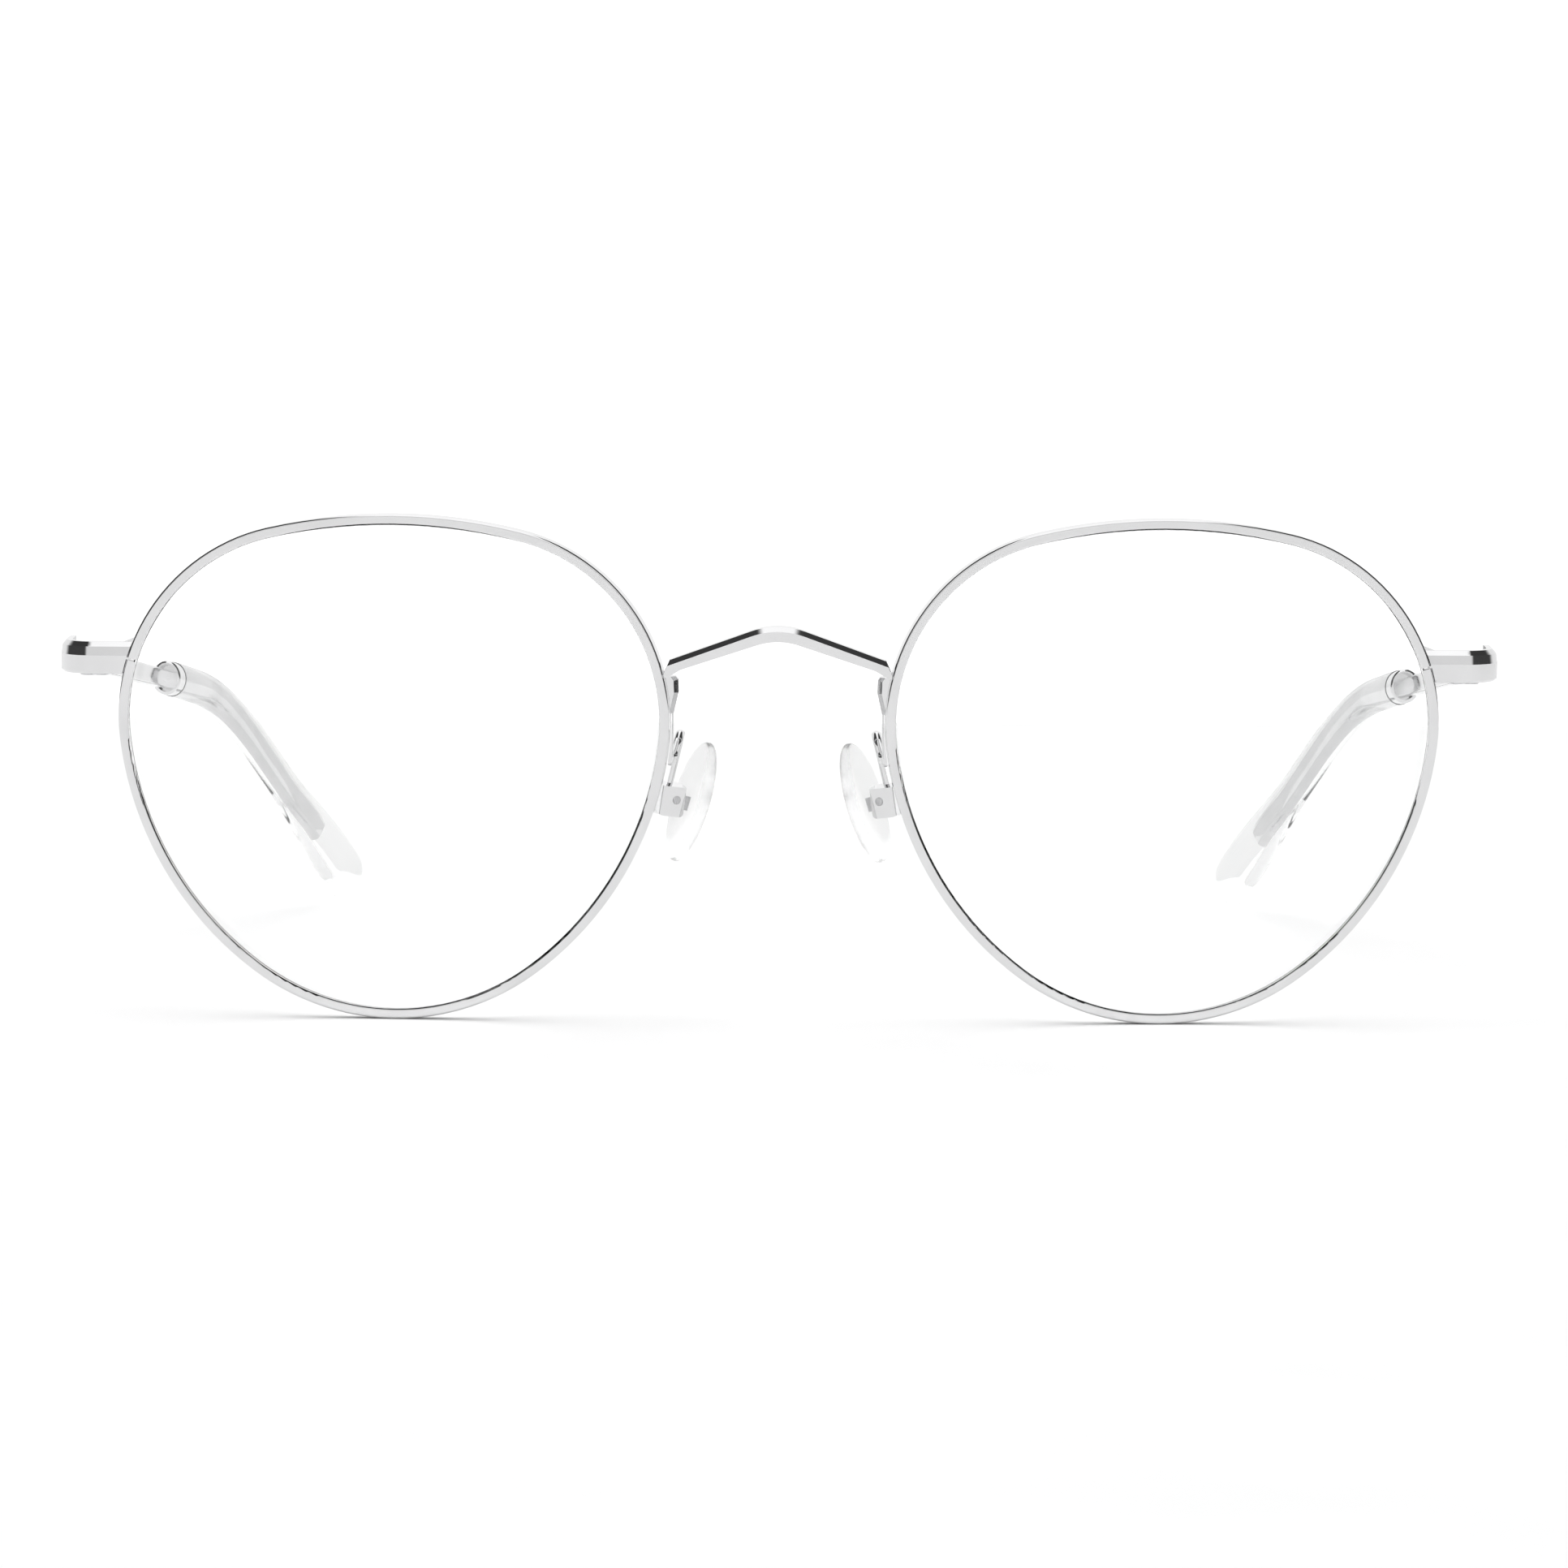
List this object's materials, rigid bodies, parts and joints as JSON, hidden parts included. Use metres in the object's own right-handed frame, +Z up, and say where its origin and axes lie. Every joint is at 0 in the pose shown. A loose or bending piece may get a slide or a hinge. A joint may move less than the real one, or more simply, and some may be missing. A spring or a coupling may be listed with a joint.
{
  "type": "round wire eyeglasses",
  "caption": "Round metal eyeglasses with clear lenses, adjustable nose pads and folding temples with clear ends.",
  "frame": {"origin": "centre of the glasses' bounding box at the surface they stand on", "axes": "+Z up, the lenses face -Y, the temples run back along +Y, +X is the wearer's left"},
  "size_m": [0.141, 0.1404, 0.0496],
  "materials": {
    "polished_silver": "polished silver plating",
    "screw_steel": "turned steel",
    "clear_lens": "clear polished lens with an anti-reflection coat",
    "clear_acetate": "polished clear acetate",
    "clear_pad": "smooth clear silicone"
  },
  "bodies": {
    "front": {"bridge": "polished_silver", "left_rim": "polished_silver", "left_lens": "clear_lens", "left_end_piece": "polished_silver", "left_closing_block_upper": "polished_silver", "left_closing_block_lower": "polished_silver", "left_lock_screw": "screw_steel", "left_pad_box": "polished_silver", "left_pad_screw": "screw_steel", "left_pad_arm": "polished_silver", "left_front_hinge_leaf": "polished_silver", "left_hinge_screw": "screw_steel", "right_rim": "polished_silver", "right_lens": "clear_lens", "right_end_piece": "polished_silver", "right_closing_block_upper": "polished_silver", "right_closing_block_lower": "polished_silver", "right_lock_screw": "screw_steel", "right_pad_box": "polished_silver", "right_pad_screw": "screw_steel", "right_pad_arm": "polished_silver", "right_front_hinge_leaf": "polished_silver", "right_hinge_screw": "screw_steel"},
    "left_temple": {"left_temple_bar": "polished_silver", "left_temple_hinge_leaf": "polished_silver", "left_ferrule": "polished_silver", "left_temple_tip": "clear_acetate"},
    "left_pad": {"left_nose_pad": "clear_pad", "left_pad_insert": "screw_steel"},
    "right_temple": {"right_temple_bar": "polished_silver", "right_temple_hinge_leaf": "polished_silver", "right_ferrule": "polished_silver", "right_temple_tip": "clear_acetate"},
    "right_pad": {"right_nose_pad": "clear_pad", "right_pad_insert": "screw_steel"}
  },
  "joints": [
    {"name": "left_temple_hinge", "type": "hinge", "parent": "front", "child": "left_temple", "pos_m": [0.0682, -0.05957, 0.0351], "axis": [0, 0, 1], "range_deg": [0, 80]},
    {"name": "right_temple_hinge", "type": "hinge", "parent": "front", "child": "right_temple", "pos_m": [-0.0682, -0.05957, 0.0351], "axis": [0, 0, -1], "range_deg": [0, 76]},
    {"name": "left_pad_rock", "type": "hinge", "parent": "front", "child": "left_pad", "pos_m": [0.0105, -0.06087, 0.02144], "axis": [0.4226, 0.9051, 0.0474], "range_deg": [-6, 6]},
    {"name": "right_pad_rock", "type": "hinge", "parent": "front", "child": "right_pad", "pos_m": [-0.0105, -0.06087, 0.02144], "axis": [-0.4226, 0.9051, 0.0474], "range_deg": [-6, 6]}
  ]
}
